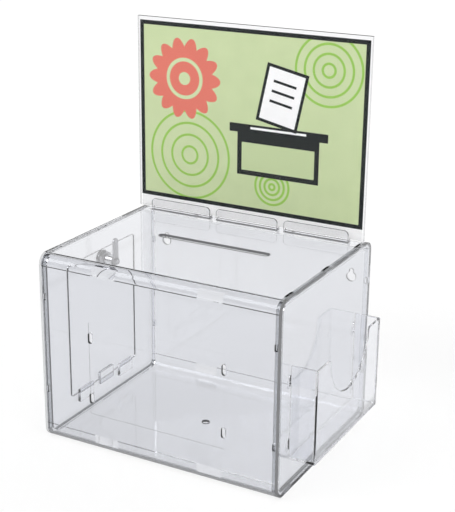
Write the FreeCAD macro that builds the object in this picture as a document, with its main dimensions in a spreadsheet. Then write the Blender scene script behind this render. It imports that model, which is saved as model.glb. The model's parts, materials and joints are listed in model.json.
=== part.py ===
import FreeCAD, Part
import os
import re
import Sketcher

# A clear plastic ballot box. Six moulded panels snap together: a lid and a base tray with rolled edges,
# flat front and back panels, and two end panels whose rims carry the snap barbs. A tilt-out door with a
# cam lock fills the left end, a brochure pocket hangs on the right end, and three clips on the lid hold
# a folded clear sleeve with a printed card in it.
# Millimetres. X runs left to right, Y front to back, Z up. The origin is the middle of the underside.

doc = FreeCAD.newDocument("ballot_box")

SIZES = [
    ("box_wide", 285, "outside width"),
    ("box_deep", 222, "outside depth, front to back"),
    ("box_tall", 213, "outside height of the box"),
    ("wall", 3, "thickness of every panel"),
    ("bend", 12, "outside radius of the rolled edges"),
    ("lid_skirt", 12.6, "height of the lid's rolled skirts"),
    ("base_skirt", 17.5, "height of the base tray's rolled skirts"),
    ("tongue_wide", 28, "width of a locating tongue"),
    ("tongue_across", 63, "tongue centre from the middle"),
    ("tongue_long", 8, "how far a tongue laps behind a panel"),
    ("tongue_root", 5, "height of the tongue inside its skirt"),
    ("tongue_thick", 2, "thickness of a tongue"),
    ("slot_long", 137, "length of the ballot slot"),
    ("slot_wide", 9, "width of the ballot slot"),
    ("slot_back", 9.9, "ballot slot centre behind the middle"),
    ("drain_wide", 9, "diameter of the hole in the base"),
    ("drain_across", -4, "hole in the base from the middle, along the width"),
    ("drain_back", 3.5, "hole in the base behind the middle"),
    ("rim_deep", 4.5, "depth of the inner rim of an end panel"),
    ("rim_thick", 2.5, "thickness of the inner rim"),
    ("rim_gap", 0.2, "gap between the rim and the panels round it"),
    ("window_wide", 3, "width of a snap window"),
    ("window_land", 1, "plastic left between a window and the panel edge"),
    ("snap_long", 15, "length of a window in the lid and the base tray"),
    ("snap_inset", 26, "outer windows from the front and back of the box"),
    ("side_snap_long", 7, "length of a window in the front and back panels"),
    ("side_snap_low", 59, "height of the lower window"),
    ("side_snap_high", 47, "upper window below the top of the box"),
    ("snap_gap", 0.3, "clearance of a barb in its window"),
    ("barb_tall", 2.4, "how far a barb stands into its window"),
    ("barb_lead", 0.5, "height of the entry end of the barb's ramp"),
    ("hook_slot_tall", 12, "height of a slot for a pocket hook"),
    ("hook_slot_wide", 5, "width of a slot for a pocket hook"),
    ("hook_slot_apart", 160, "distance between the two columns of slots"),
    ("hook_slot_pitch", 69.5, "distance between the two rows of slots"),
    ("front_slot_low", 60.7, "height of the lower row on the front panel"),
    ("side_slot_low", 54.2, "height of the lower row on the right end panel"),
    ("pocket_back", -7.5, "pocket centre behind the middle of the right end panel"),
    ("footprint_deep", 0.3, "depth of the pocket footprint in the front panel"),
    ("footprint_gap", 0.5, "the footprint is larger than the pocket by this much all round"),
    ("keyhole_round", 11, "diameter of a keyhole's round part"),
    ("keyhole_neck", 5, "width of a keyhole's neck"),
    ("keyhole_rise", 7, "height of the neck's end centre above the round part's"),
    ("keyhole_inset", 23.5, "keyhole centres from the ends of the box"),
    ("keyhole_drop", 46, "keyhole centres below the top of the box"),
    ("door_wide", 131, "width of the door"),
    ("door_foot", 29, "height of the door's lower edge"),
    ("door_head", 29.5, "door's upper edge below the top of the box"),
    ("door_back", 2.5, "door centre behind the middle of the left end panel"),
    ("door_round", 3, "corner radius of the door"),
    ("door_gap", 0.5, "gap all round the door"),
    ("lug_wide", 27, "width of a stop lug or of the hook lug"),
    ("lug_apart", 81, "distance between the two stop lugs"),
    ("lug_thick", 3, "thickness of a lug"),
    ("lug_gap", 0.3, "clearance between a lug and the panel it laps"),
    ("lug_lap", 5.4, "how far the stop lugs rise behind the door"),
    ("lug_root", 10, "height of a lug on the panel that carries it"),
    ("hook_lap", 4, "how far the door's hook lug hangs behind the sill"),
    ("lock_drop", 11, "lock axis below the door's upper edge"),
    ("lock_head_wide", 19, "diameter of the lock's outer flange"),
    ("lock_head_thick", 2, "thickness of that flange"),
    ("lock_head_bevel", 0.8, "bevel round the flange"),
    ("barrel_wide", 12, "diameter of the lock's barrel"),
    ("barrel_flat", 10.8, "barrel across its two flats"),
    ("barrel_long", 18.5, "barrel length behind the door's outer face"),
    ("barrel_gap", 0.2, "clearance of the barrel in the door, washer and nut"),
    ("spur_wide", 20, "diameter of the spur washer"),
    ("spur_thick", 0.8, "thickness of the spur washer"),
    ("nut_flat", 17, "lock nut across its flats"),
    ("nut_thick", 4.5, "thickness of the lock nut"),
    ("plug_wide", 9, "diameter of the plug"),
    ("plug_gap", 0.3, "clearance round the plug and behind the barrel"),
    ("plug_sunk", 0.4, "plug face behind the flange face"),
    ("plug_square", 5.5, "square end of the plug across its flats"),
    ("square_gap", 0.1, "clearance of the square in the cam and stop washer"),
    ("key_wide", 1.4, "width of the key slot"),
    ("key_tall", 5, "height of the key slot"),
    ("key_deep", 13.5, "depth of the key slot"),
    ("wafer_thick", 0.7, "thickness of a wafer"),
    ("wafer_wide", 3.6, "width of a wafer"),
    ("wafer_tall", 7.6, "height of a wafer"),
    ("wafer_pitch", 2.2, "spacing of the wafers"),
    ("wafer_first", 2.5, "first wafer behind the door's outer face"),
    ("wafer_gap", 0.1, "clearance of a wafer in its slot"),
    ("wafer_rim", 0.6, "wafer metal above and below its key hole"),
    ("ear_wide", 1.3, "reach of the wafer's spring ear"),
    ("ear_low", -1, "underside of the ear from the lock axis"),
    ("ear_thick", 1.4, "height of the ear"),
    ("spring_wide", 0.8, "diameter of a wafer spring"),
    ("spring_long", 1.6, "length of a wafer spring"),
    ("stop_wide", 12, "diameter of the stop washer"),
    ("stop_thick", 1, "thickness of the stop washer"),
    ("cam_wide", 8.7, "width of the lock cam"),
    ("cam_reach", 27, "lock axis to the tip of the cam"),
    ("cam_thick", 2, "thickness of the lock cam"),
    ("tooth_wide", 8, "diameter of the toothed washer"),
    ("tooth_bore", 4.4, "bore of the toothed washer"),
    ("tooth_thick", 0.6, "thickness of the toothed washer"),
    ("screw_head_wide", 7, "diameter of the cam screw's head"),
    ("screw_head_tall", 2.4, "height of the cam screw's head"),
    ("screw_head_bevel", 1, "bevel round the cam screw's head"),
    ("screw_wide", 4, "diameter of the cam screw"),
    ("screw_long", 9, "length of the cam screw below its head"),
    ("screw_gap", 0.1, "clearance of the cam screw in the plug"),
    ("clip_wide", 78, "width of a header clip"),
    ("clip_apart", 86, "spacing of the header clips"),
    ("clip_inset", 22, "middle of the header clips from the back of the box"),
    ("clip_tall", 14, "height of a header clip"),
    ("clip_base", 3, "thickness of the clip's base"),
    ("clip_wall", 1.5, "thickness of the clip's two walls"),
    ("clip_round", 5, "corner radius of the clip's walls"),
    ("sleeve_gap", 0.2, "clearance of the sleeve in the clips"),
    ("sleeve_sheet", 1.5, "thickness of the sleeve's sheet"),
    ("sleeve_slit", 0.7, "slit between the sleeve's two sheets"),
    ("sleeve_fold", 0.3, "inside radius of the sleeve's folded foot"),
    ("sleeve_margin", 2.6, "sleeve beyond each side of the card"),
    ("sleeve_lip", 4.3, "sleeve above the card"),
    ("card_wide", 279.4, "width of the printed card"),
    ("card_tall", 215.9, "height of the printed card"),
    ("card_thick", 0.3, "thickness of the printed card"),
    ("card_gap", 0.3, "card above the bottom of the slit"),
    ("pocket_deep", 29.5, "depth of the brochure pocket"),
    ("pocket_tall", 103.5, "height of the brochure pocket"),
    ("pocket_wall", 2.5, "thickness of the pocket's walls"),
    ("pocket_round", 1.5, "outside radius of the pocket's upright corners"),
    ("pocket_foot", 17, "pocket bottom below the middle of the lower slots"),
    ("pocket_foot_round", 1, "rounding of the pocket's bottom edge"),
    ("notch_round", 48, "radius of the round notch in the pocket's outer wall"),
    ("notch_sunk", 1.5, "notch centre below the pocket's upper edge"),
    ("notch_ear_round", 4, "rounding where the notch meets the upper edge"),
    ("hook_inset", 0.5, "hook inside the middle of its slot"),
    ("hook_neck_tall", 4, "height of a hook where it passes the panel"),
    ("hook_drop", 5, "how far a hook hangs down behind the panel"),
    ("hook_thick", 2.5, "thickness of the hanging part of a hook"),
    ("fit_gap", 0.3, "clearance between pieces that slide"),
]

sheet = doc.addObject("Spreadsheet::Sheet", "Sizes")
for row, (alias, number, meaning) in enumerate(SIZES, start=1):
    sheet.set(f"A{row}", meaning)
    sheet.set(f"B{row}", str(number))
    sheet.setAlias(f"B{row}", alias)
doc.recompute()

WAFERS = 5
START, END, MIDDLE = range(1, 4)


def bound(formula):
    """The formula with every size name pointed at the sheet."""
    return re.sub(r"\b([a-z][a-z_]*)\b(?!\()", r"Sizes.\1", str(formula))


def value(formula):
    """The formula's present value."""
    return float(sheet.evalExpression(bound(formula)))


# Helpers for bodies, sketches and features

def new_body(name):
    body = doc.addObject("PartDesign::Body", name)
    body.Label = name
    return body


def origin_plane(body, role):
    return [item for item in body.Origin.OriginFeatures if item.Role == role][0]


def new_sketch(body, role, lift, name):
    """A sketch on an origin plane of its body, lifted along the plane's normal by a formula."""
    sketch = body.newObject("Sketcher::SketchObject", f"{body.Name}_{name}")
    sketch.AttachmentSupport = (origin_plane(body, role), [""])
    sketch.MapMode = "FlatFace"
    sketch.setExpression("AttachmentOffset.Base.z", bound(lift))
    return sketch


def drive(sketch, constraint, formula):
    """Adds a sized constraint whose size follows the formula."""
    index = sketch.addConstraint(constraint)
    sketch.setExpression(f"Constraints[{index}]", bound(formula))


def pin(sketch, line, point, across, up):
    """Holds one point of a sketch at the place that two formulas give."""
    drive(sketch, Sketcher.Constraint("DistanceX", line, point, value(across)), across)
    drive(sketch, Sketcher.Constraint("DistanceY", line, point, value(up)), up)


def outline(sketch, corners):
    """A closed outline of level and upright lines. A corner is (across, up) or (across, up, radius)."""
    count = len(corners)
    spots = [FreeCAD.Vector(value(corner[0]), value(corner[1]), 0) for corner in corners]
    radii = [value(corner[2]) if len(corner) > 2 else 0 for corner in corners]
    ways = [(spots[(i + 1) % count] - spots[i]).normalize() for i in range(count)]
    lines = []
    for i in range(count):
        after = (i + 1) % count
        begin = spots[i] + ways[i] * radii[i]
        finish = spots[after] - ways[i] * radii[after]
        line = sketch.addGeometry(Part.LineSegment(begin, finish))
        level = abs(ways[i].x) > abs(ways[i].y)
        sketch.addConstraint(Sketcher.Constraint("Horizontal" if level else "Vertical", line))
        kind = "DistanceY" if level else "DistanceX"
        formula = corners[i][1] if level else corners[i][0]
        drive(sketch, Sketcher.Constraint(kind, line, START, value(formula)), formula)
        lines.append(line)
    for i in range(count):
        before = lines[i - 1]
        if not radii[i]:
            sketch.addConstraint(Sketcher.Constraint("Coincident", before, END, lines[i], START))
            continue
        begin = spots[i] - ways[i - 1] * radii[i]
        finish = spots[i] + ways[i] * radii[i]
        centre = begin + ways[i] * radii[i]
        left_turn = ways[i - 1].cross(ways[i]).z > 0
        first, last = (begin, finish) if left_turn else (finish, begin)
        circle = Part.Circle(centre, FreeCAD.Vector(0, 0, 1), radii[i])
        arc = Part.ArcOfCircle(circle, circle.parameter(first), circle.parameter(last))
        curve = sketch.addGeometry(arc)
        begin_point, finish_point = (START, END) if left_turn else (END, START)
        sketch.addConstraint(Sketcher.Constraint("Tangent", before, END, curve, begin_point))
        sketch.addConstraint(Sketcher.Constraint("Tangent", curve, finish_point, lines[i], START))
        drive(sketch, Sketcher.Constraint("Radius", curve, radii[i]), corners[i][2])


def rectangle(sketch, left, low, right, high, *radius):
    outline(sketch, [(left, low, *radius), (right, low, *radius), (right, high, *radius), (left, high, *radius)])


def polygon(sketch, corners):
    """A closed outline of straight lines in any direction."""
    spots = [FreeCAD.Vector(value(across), value(up), 0) for across, up in corners]
    lines = []
    for i, spot in enumerate(spots):
        lines.append(sketch.addGeometry(Part.LineSegment(spot, spots[(i + 1) % len(spots)])))
    for i, (across, up) in enumerate(corners):
        sketch.addConstraint(Sketcher.Constraint("Coincident", lines[i - 1], END, lines[i], START))
        pin(sketch, lines[i], START, across, up)


def ring(sketch, across, up, diameter):
    radius = value(diameter) / 2
    centre = FreeCAD.Vector(value(across), value(up), 0)
    curve = sketch.addGeometry(Part.Circle(centre, FreeCAD.Vector(0, 0, 1), radius))
    pin(sketch, curve, MIDDLE, across, up)
    drive(sketch, Sketcher.Constraint("Radius", curve, radius), f"({diameter}) / 2")


def arc_between(sketch, centre, first, last, diameter, across, up):
    """A counterclockwise arc about a centre that two formulas hold."""
    radius = value(diameter) / 2
    circle = Part.Circle(centre, FreeCAD.Vector(0, 0, 1), radius)
    curve = sketch.addGeometry(Part.ArcOfCircle(circle, circle.parameter(first), circle.parameter(last)))
    pin(sketch, curve, MIDDLE, across, up)
    drive(sketch, Sketcher.Constraint("Radius", curve, radius), f"({diameter}) / 2")
    return curve


def join_loop(sketch, loop, kind):
    """Ties each piece's end to the next piece's start, as a corner or as a smooth run."""
    for i, piece in enumerate(loop):
        sketch.addConstraint(Sketcher.Constraint(kind, loop[i - 1], END, piece, START))


def upright_slot(sketch, across, up, tall, wide):
    """A round-ended slot that stands upright, given by its middle."""
    half, reach = value(wide) / 2, (value(tall) - value(wide)) / 2
    middle = FreeCAD.Vector(value(across), value(up), 0)
    side, rise = FreeCAD.Vector(half, 0, 0), FreeCAD.Vector(0, reach, 0)
    high = f"{up} + ({tall} - {wide}) / 2"
    low = f"{up} - ({tall} - {wide}) / 2"
    top = arc_between(sketch, middle + rise, middle + rise + side, middle + rise - side, wide, across, high)
    left = sketch.addGeometry(Part.LineSegment(middle + rise - side, middle - rise - side))
    foot = arc_between(sketch, middle - rise, middle - rise - side, middle - rise + side, wide, across, low)
    right = sketch.addGeometry(Part.LineSegment(middle - rise + side, middle + rise + side))
    join_loop(sketch, [top, left, foot, right], "Tangent")


def level_slot(sketch, across, up, long, wide):
    """A round-ended slot that lies level, given by its middle."""
    half, reach = value(wide) / 2, (value(long) - value(wide)) / 2
    middle = FreeCAD.Vector(value(across), value(up), 0)
    rise, side = FreeCAD.Vector(0, half, 0), FreeCAD.Vector(reach, 0, 0)
    far = f"{across} + ({long} - {wide}) / 2"
    near = f"{across} - ({long} - {wide}) / 2"
    right = arc_between(sketch, middle + side, middle + side - rise, middle + side + rise, wide, far, up)
    top = sketch.addGeometry(Part.LineSegment(middle + side + rise, middle - side + rise))
    left = arc_between(sketch, middle - side, middle - side + rise, middle - side - rise, wide, near, up)
    foot = sketch.addGeometry(Part.LineSegment(middle - side - rise, middle + side - rise))
    join_loop(sketch, [right, top, left, foot], "Tangent")


def flatted_ring(sketch, across, up, diameter, flat):
    """A circle with a level flat above and below, as on a lock barrel."""
    radius, rise = value(diameter) / 2, value(flat) / 2
    reach = (radius ** 2 - rise ** 2) ** 0.5
    centre = FreeCAD.Vector(value(across), value(up), 0)
    corner = [centre + FreeCAD.Vector(x * reach, y * rise, 0) for x, y in ((1, -1), (1, 1), (-1, 1), (-1, -1))]
    right = arc_between(sketch, centre, corner[0], corner[1], diameter, across, up)
    top = sketch.addGeometry(Part.LineSegment(corner[1], corner[2]))
    left = arc_between(sketch, centre, corner[2], corner[3], diameter, across, up)
    foot = sketch.addGeometry(Part.LineSegment(corner[3], corner[0]))
    join_loop(sketch, [right, top, left, foot], "Coincident")
    for line, sign in ((top, "+"), (foot, "-")):
        sketch.addConstraint(Sketcher.Constraint("Horizontal", line))
        level = f"{up} {sign} ({flat}) / 2"
        drive(sketch, Sketcher.Constraint("DistanceY", line, START, value(level)), level)


def pad(body, sketch, length, middle=False):
    feature = body.newObject("PartDesign::Pad", f"{sketch.Name}_pad")
    feature.Profile = sketch
    feature.setExpression("Length", bound(length))
    feature.Midplane = middle
    doc.recompute()
    return feature


def cut(body, sketch, depth, middle=False):
    """A pocket against the sketch's normal, which must take plastic or metal away."""
    before = body.Tip.Shape.Volume
    feature = body.newObject("PartDesign::Pocket", f"{sketch.Name}_cut")
    feature.Profile = sketch
    feature.setExpression("Length", bound(depth))
    feature.Midplane = middle
    doc.recompute()
    if not body.Tip.Shape.Volume < before:
        raise RuntimeError(f"{feature.Name} cuts nothing")
    return feature


def repeat(body, feature, sketch, axis, length, count):
    """A row of copies of a feature along an axis of its own sketch."""
    row = body.newObject("PartDesign::LinearPattern", f"{feature.Name}_row")
    row.Originals = [feature]
    row.Direction = (sketch, [axis])
    row.setExpression("Length", bound(length))
    row.Occurrences = count
    body.Tip = row
    doc.recompute()
    return row


def soften(body, radius, chosen):
    """Rounds the edges of the body that the test picks."""
    base = body.Tip
    names = [f"Edge{i}" for i, edge in enumerate(base.Shape.Edges, start=1) if chosen(edge)]
    if not names:
        raise RuntimeError(f"{body.Label} has no edge to round")
    feature = body.newObject("PartDesign::Fillet", f"{base.Name}_soft")
    feature.Base = (base, names)
    feature.setExpression("Radius", bound(radius))
    doc.recompute()
    return feature


def bevel(body, size, chosen):
    """Bevels the edges of the body that the test picks."""
    base = body.Tip
    names = [f"Edge{i}" for i, edge in enumerate(base.Shape.Edges, start=1) if chosen(edge)]
    feature = body.newObject("PartDesign::Chamfer", f"{base.Name}_bevel")
    feature.Base = (base, names)
    feature.setExpression("Size", bound(size))
    doc.recompute()
    return feature


def near(number, formula):
    return abs(number - value(formula)) < Part.Precision.confusion() * 100


def place(body, across, back, up):
    """Moves a finished body by three formulas."""
    body.setExpression("Placement.Base.x", bound(across))
    body.setExpression("Placement.Base.y", bound(back))
    body.setExpression("Placement.Base.z", bound(up))


# Sizes that several pieces share

INNER_WIDE = "(box_wide / 2 - wall)"
INNER_DEEP = "(box_deep / 2 - wall)"
SNAP_MIDDLE = f"({INNER_WIDE} - window_land - window_wide / 2)"
DOOR_TOP = "(box_tall - door_head)"
LOCK_UP = f"({DOOR_TOP} - lock_drop)"
SNAP_REACH = "(box_deep / 2 - snap_inset)"
SIDE_SNAP_PITCH = "(box_tall - side_snap_high - side_snap_low)"
CLIP_BACK = "(box_deep / 2 - clip_inset)"
KEYHOLE_HIGH = "(box_tall - keyhole_drop)"
HOOK_SIDE = "(hook_slot_apart / 2 - hook_inset)"
POCKET_HALF = f"({HOOK_SIDE} + pocket_wall / 2)"
POCKET_LOW = "(side_slot_low - pocket_foot)"
CLIP_THICK = "(2 * clip_wall + 2 * sleeve_gap + 2 * sleeve_sheet + sleeve_slit)"
SLEEVE_FOOT = "(box_tall + clip_base)"


# Lid and base tray: a sheet rolled over at the front and back, with tongues that lap behind the flat panels

def rolled_profile(sketch, skirt_end, outer, inner):
    """The tray's section: skirts to skirt_end, plate between the outer and inner heights."""
    outline(sketch, [
        ("-box_deep / 2", skirt_end),
        ("-box_deep / 2", outer, "bend"),
        ("box_deep / 2", outer, "bend"),
        ("box_deep / 2", skirt_end),
        (INNER_DEEP, skirt_end),
        (INNER_DEEP, inner, "bend - wall"),
        (f"-{INNER_DEEP}", inner, "bend - wall"),
        (f"-{INNER_DEEP}", skirt_end),
    ])


def tongues(body, tongue_end, root):
    """Two tongues inside the front skirt and two inside the back one."""
    front = new_sketch(body, "XZ_Plane", f"{INNER_DEEP} - tongue_thick", "front_tongues")
    back = new_sketch(body, "XZ_Plane", f"-{INNER_DEEP}", "back_tongues")
    for sketch in (front, back):
        for side in ("-", ""):
            middle = f"{side}tongue_across"
            rectangle(sketch, f"{middle} - tongue_wide / 2", tongue_end, f"{middle} + tongue_wide / 2", root)
        pad(body, sketch, "tongue_thick")


def snap_windows(body, level):
    """Three windows along each end of a tray, for the barbs of the end panels."""
    for side, label in (("-", "left"), ("", "right")):
        sketch = new_sketch(body, "XY_Plane", level, f"{label}_windows")
        near_edge = f"{side}{SNAP_MIDDLE} - window_wide / 2"
        far_edge = f"{side}{SNAP_MIDDLE} + window_wide / 2"
        rectangle(sketch, near_edge, f"-{SNAP_REACH} - snap_long / 2", far_edge, f"-{SNAP_REACH} + snap_long / 2")
        window = cut(body, sketch, "wall")
        repeat(body, window, sketch, "V_Axis", f"2 * {SNAP_REACH}", 3)


def make_lid():
    body = new_body("lid")
    section = new_sketch(body, "YZ_Plane", f"-{INNER_WIDE}", "section")
    rolled_profile(section, "box_tall - lid_skirt", "box_tall", "box_tall - wall")
    pad(body, section, f"2 * {INNER_WIDE}")
    tongues(body, "box_tall - lid_skirt - tongue_long", "box_tall - lid_skirt + tongue_root")
    slot = new_sketch(body, "XY_Plane", "box_tall", "ballot_slot")
    level_slot(slot, "0", "slot_back", "slot_long", "slot_wide")
    cut(body, slot, "wall")
    snap_windows(body, "box_tall")


def make_base_tray():
    body = new_body("base_tray")
    section = new_sketch(body, "YZ_Plane", f"-{INNER_WIDE}", "section")
    rolled_profile(section, "base_skirt", "0", "wall")
    pad(body, section, f"2 * {INNER_WIDE}")
    tongues(body, "base_skirt + tongue_long", "base_skirt - tongue_root")
    hole = new_sketch(body, "XY_Plane", "wall", "drain_hole")
    ring(hole, "drain_across", "drain_back", "drain_wide")
    cut(body, hole, "wall")
    snap_windows(body, "wall")


# Front and back panels: flat plates between the two trays

def flat_panel(name, inner_lift):
    """A plate padded forwards from the given lift, with two windows near each end."""
    body = new_body(name)
    plate = new_sketch(body, "XZ_Plane", inner_lift, "plate")
    rectangle(plate, f"-{INNER_WIDE}", "base_skirt", INNER_WIDE, "box_tall - lid_skirt")
    pad(body, plate, "wall")
    outer_lift = f"{inner_lift} + wall"
    for side, label in (("-", "left"), ("", "right")):
        sketch = new_sketch(body, "XZ_Plane", outer_lift, f"{label}_windows")
        near_edge = f"{side}{SNAP_MIDDLE} - window_wide / 2"
        far_edge = f"{side}{SNAP_MIDDLE} + window_wide / 2"
        low = "side_snap_low - side_snap_long / 2"
        high = "side_snap_low + side_snap_long / 2"
        rectangle(sketch, near_edge, low, far_edge, high)
        window = cut(body, sketch, "wall")
        repeat(body, window, sketch, "V_Axis", SIDE_SNAP_PITCH, 2)
    return body, outer_lift


def make_front_panel():
    body, outer_lift = flat_panel("front_panel", INNER_DEEP)
    footprint = new_sketch(body, "XZ_Plane", outer_lift, "pocket_footprint")
    half = f"({POCKET_HALF} + footprint_gap)"
    low = "front_slot_low - pocket_foot - footprint_gap"
    high = "front_slot_low - pocket_foot + pocket_tall + footprint_gap"
    rectangle(footprint, f"-{half}", low, half, high)
    cut(body, footprint, "footprint_deep")
    for side, label in (("-", "left"), ("", "right")):
        slot = new_sketch(body, "XZ_Plane", outer_lift, f"{label}_hook_slots")
        upright_slot(slot, f"{side}hook_slot_apart / 2", "front_slot_low", "hook_slot_tall", "hook_slot_wide")
        opening = cut(body, slot, "wall")
        repeat(body, opening, slot, "V_Axis", "hook_slot_pitch", 2)


def make_back_panel():
    body, outer_lift = flat_panel("back_panel", "-box_deep / 2")
    for side, label in (("-", "left"), ("", "right")):
        across = f"{side}(box_wide / 2 - keyhole_inset)"
        round_part = new_sketch(body, "XZ_Plane", outer_lift, f"{label}_keyhole")
        ring(round_part, across, KEYHOLE_HIGH, "keyhole_round")
        cut(body, round_part, "wall")
        neck = new_sketch(body, "XZ_Plane", outer_lift, f"{label}_keyhole_neck")
        middle = f"{KEYHOLE_HIGH} + keyhole_rise / 2"
        upright_slot(neck, across, middle, "keyhole_rise + keyhole_neck", "keyhole_neck")
        cut(body, neck, "wall")


# End panels: a plate with rolled corners, an inner rim, and barbs on the rim

def barb_rows(body, side):
    """Barbs that rise from the rim into the windows, three above and below, two front and back."""
    catch = f"({SNAP_MIDDLE} + window_wide / 2 - snap_gap)"
    entry = f"({SNAP_MIDDLE} - window_wide / 2 + snap_gap)"
    top = "(box_tall - wall - rim_gap)"
    foot = "(wall + rim_gap)"
    level = new_sketch(body, "XZ_Plane", f"-{SNAP_REACH}", "level_barbs")
    for base, way in ((top, "+"), (foot, "-")):
        polygon(level, [
            (f"{side}{entry}", base),
            (f"{side}{catch}", base),
            (f"{side}{catch}", f"{base} {way} barb_tall"),
            (f"{side}{entry}", f"{base} {way} barb_lead"),
        ])
    row = pad(body, level, "snap_long - 2 * snap_gap", middle=True)
    repeat(body, row, level, "N_Axis", f"2 * {SNAP_REACH}", 3)
    upright = new_sketch(body, "XY_Plane", "side_snap_low", "upright_barbs")
    for base, way in ((f"({INNER_DEEP} - rim_gap)", "+"), (f"(rim_gap - {INNER_DEEP})", "-")):
        polygon(upright, [
            (f"{side}{entry}", base),
            (f"{side}{catch}", base),
            (f"{side}{catch}", f"{base} {way} barb_tall"),
            (f"{side}{entry}", f"{base} {way} barb_lead"),
        ])
    column = pad(body, upright, "side_snap_long - 2 * snap_gap", middle=True)
    repeat(body, column, upright, "N_Axis", SIDE_SNAP_PITCH, 2)


def end_panel(name, plate_lift, rim_lift, side):
    body = new_body(name)
    plate = new_sketch(body, "YZ_Plane", plate_lift, "plate")
    rectangle(plate, "-box_deep / 2", "0", "box_deep / 2", "box_tall", "bend")
    pad(body, plate, "wall")
    rim = new_sketch(body, "YZ_Plane", rim_lift, "rim")
    for inset in ("(wall + rim_gap)", "(wall + rim_gap + rim_thick)"):
        half = f"(box_deep / 2 - {inset})"
        rectangle(rim, f"-{half}", inset, half, f"box_tall - {inset}", f"bend - {inset}")
    pad(body, rim, "rim_deep")
    barb_rows(body, side)
    return body


def make_left_end_panel():
    body = end_panel("left_end_panel", "-box_wide / 2", f"-{INNER_WIDE}", "-")
    opening = new_sketch(body, "YZ_Plane", f"-{INNER_WIDE}", "door_opening")
    half = "(door_wide / 2 + door_gap)"
    rectangle(opening, f"door_back - {half}", "door_foot - door_gap", f"door_back + {half}",
              f"{DOOR_TOP} + door_gap", "door_round + door_gap")
    cut(body, opening, "wall")
    stop = new_sketch(body, "XZ_Plane", "-door_back - lug_apart / 2", "stop_lugs")
    face = f"-{INNER_WIDE}"
    sill = "door_foot - door_gap"
    outline(stop, [
        (face, f"{sill} - lug_root"),
        (f"{face} + lug_gap + lug_thick", f"{sill} - lug_root"),
        (f"{face} + lug_gap + lug_thick", f"{sill} + lug_lap"),
        (f"{face} + lug_gap", f"{sill} + lug_lap"),
        (f"{face} + lug_gap", sill),
        (face, sill),
    ])
    lug = pad(body, stop, "lug_wide", middle=True)
    repeat(body, lug, stop, "N_Axis", "lug_apart", 2)


def make_right_end_panel():
    body = end_panel("right_end_panel", INNER_WIDE, f"{INNER_WIDE} - rim_deep", "")
    for side, label in (("-", "front"), ("+", "rear")):
        slot = new_sketch(body, "YZ_Plane", "box_wide / 2", f"{label}_hook_slots")
        across = f"pocket_back {side} hook_slot_apart / 2"
        upright_slot(slot, across, "side_slot_low", "hook_slot_tall", "hook_slot_wide")
        opening = cut(body, slot, "wall")
        repeat(body, opening, slot, "V_Axis", "hook_slot_pitch", 2)


# Door: a plate in the left end panel that tilts out about its lower outer edge

def make_door():
    body = new_body("door")
    plate = new_sketch(body, "YZ_Plane", "-box_wide / 2", "plate")
    left = "door_back - door_wide / 2"
    right = "door_back + door_wide / 2"
    rectangle(plate, left, "door_foot", right, DOOR_TOP, "door_round")
    pad(body, plate, "wall")
    lug = new_sketch(body, "XZ_Plane", "-door_back", "hook_lug")
    face = f"-{INNER_WIDE}"
    sill = "door_foot - door_gap"
    outline(lug, [
        (face, "door_foot"),
        (f"{face} + lug_gap", "door_foot"),
        (f"{face} + lug_gap", f"{sill} - hook_lap"),
        (f"{face} + lug_gap + lug_thick", f"{sill} - hook_lap"),
        (f"{face} + lug_gap + lug_thick", "door_foot + lug_root"),
        (face, "door_foot + lug_root"),
    ])
    pad(body, lug, "lug_wide", middle=True)
    hole = new_sketch(body, "YZ_Plane", f"-{INNER_WIDE}", "lock_hole")
    flatted_ring(hole, "door_back", LOCK_UP, "barrel_wide + 2 * barrel_gap", "barrel_flat + 2 * barrel_gap")
    cut(body, hole, "wall")


# Cam lock: each piece is drawn about the lock axis, with the door's outer face at zero, then placed

def lock_body(name):
    body = new_body(name)
    place(body, "-box_wide / 2", "door_back", LOCK_UP)
    return body


def lock_disc(name, lift, thick, diameter, bore):
    body = lock_body(name)
    sketch = new_sketch(body, "YZ_Plane", lift, "disc")
    ring(sketch, "0", "0", diameter)
    if bore:
        ring(sketch, "0", "0", bore)
    pad(body, sketch, thick)
    return body


STOP_AT = "(barrel_long + plug_gap)"
CAM_AT = f"({STOP_AT} + stop_thick)"
TOOTH_AT = f"({CAM_AT} + cam_thick)"
HEAD_AT = f"({TOOTH_AT} + tooth_thick)"


def make_lock_housing():
    body = lock_disc("lock_housing", "-lock_head_thick", "lock_head_thick", "lock_head_wide", None)
    bevel(body, "lock_head_bevel", lambda edge: near(edge.BoundBox.XMax, "-lock_head_thick"))
    barrel = new_sketch(body, "YZ_Plane", "0", "barrel")
    flatted_ring(barrel, "0", "0", "barrel_wide", "barrel_flat")
    pad(body, barrel, "barrel_long")
    bore = new_sketch(body, "YZ_Plane", "barrel_long", "bore")
    ring(bore, "0", "0", "plug_wide + 2 * plug_gap")
    cut(body, bore, "barrel_long + lock_head_thick")


def make_lock_spur_washer():
    lock_disc("lock_spur_washer", "wall", "spur_thick", "spur_wide", "barrel_wide + 2 * barrel_gap")


def make_lock_nut():
    body = lock_body("lock_nut")
    sketch = new_sketch(body, "YZ_Plane", "wall + spur_thick", "hexagon")
    flat = "nut_flat / 2"
    corner = "nut_flat / sqrt(3)"
    polygon(sketch, [
        (flat, f"{corner} / 2"), ("0", corner), (f"-{flat}", f"{corner} / 2"),
        (f"-{flat}", f"-{corner} / 2"), ("0", f"-{corner}"), (flat, f"-{corner} / 2"),
    ])
    ring(sketch, "0", "0", "barrel_wide + 2 * barrel_gap")
    pad(body, sketch, "nut_thick")


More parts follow.
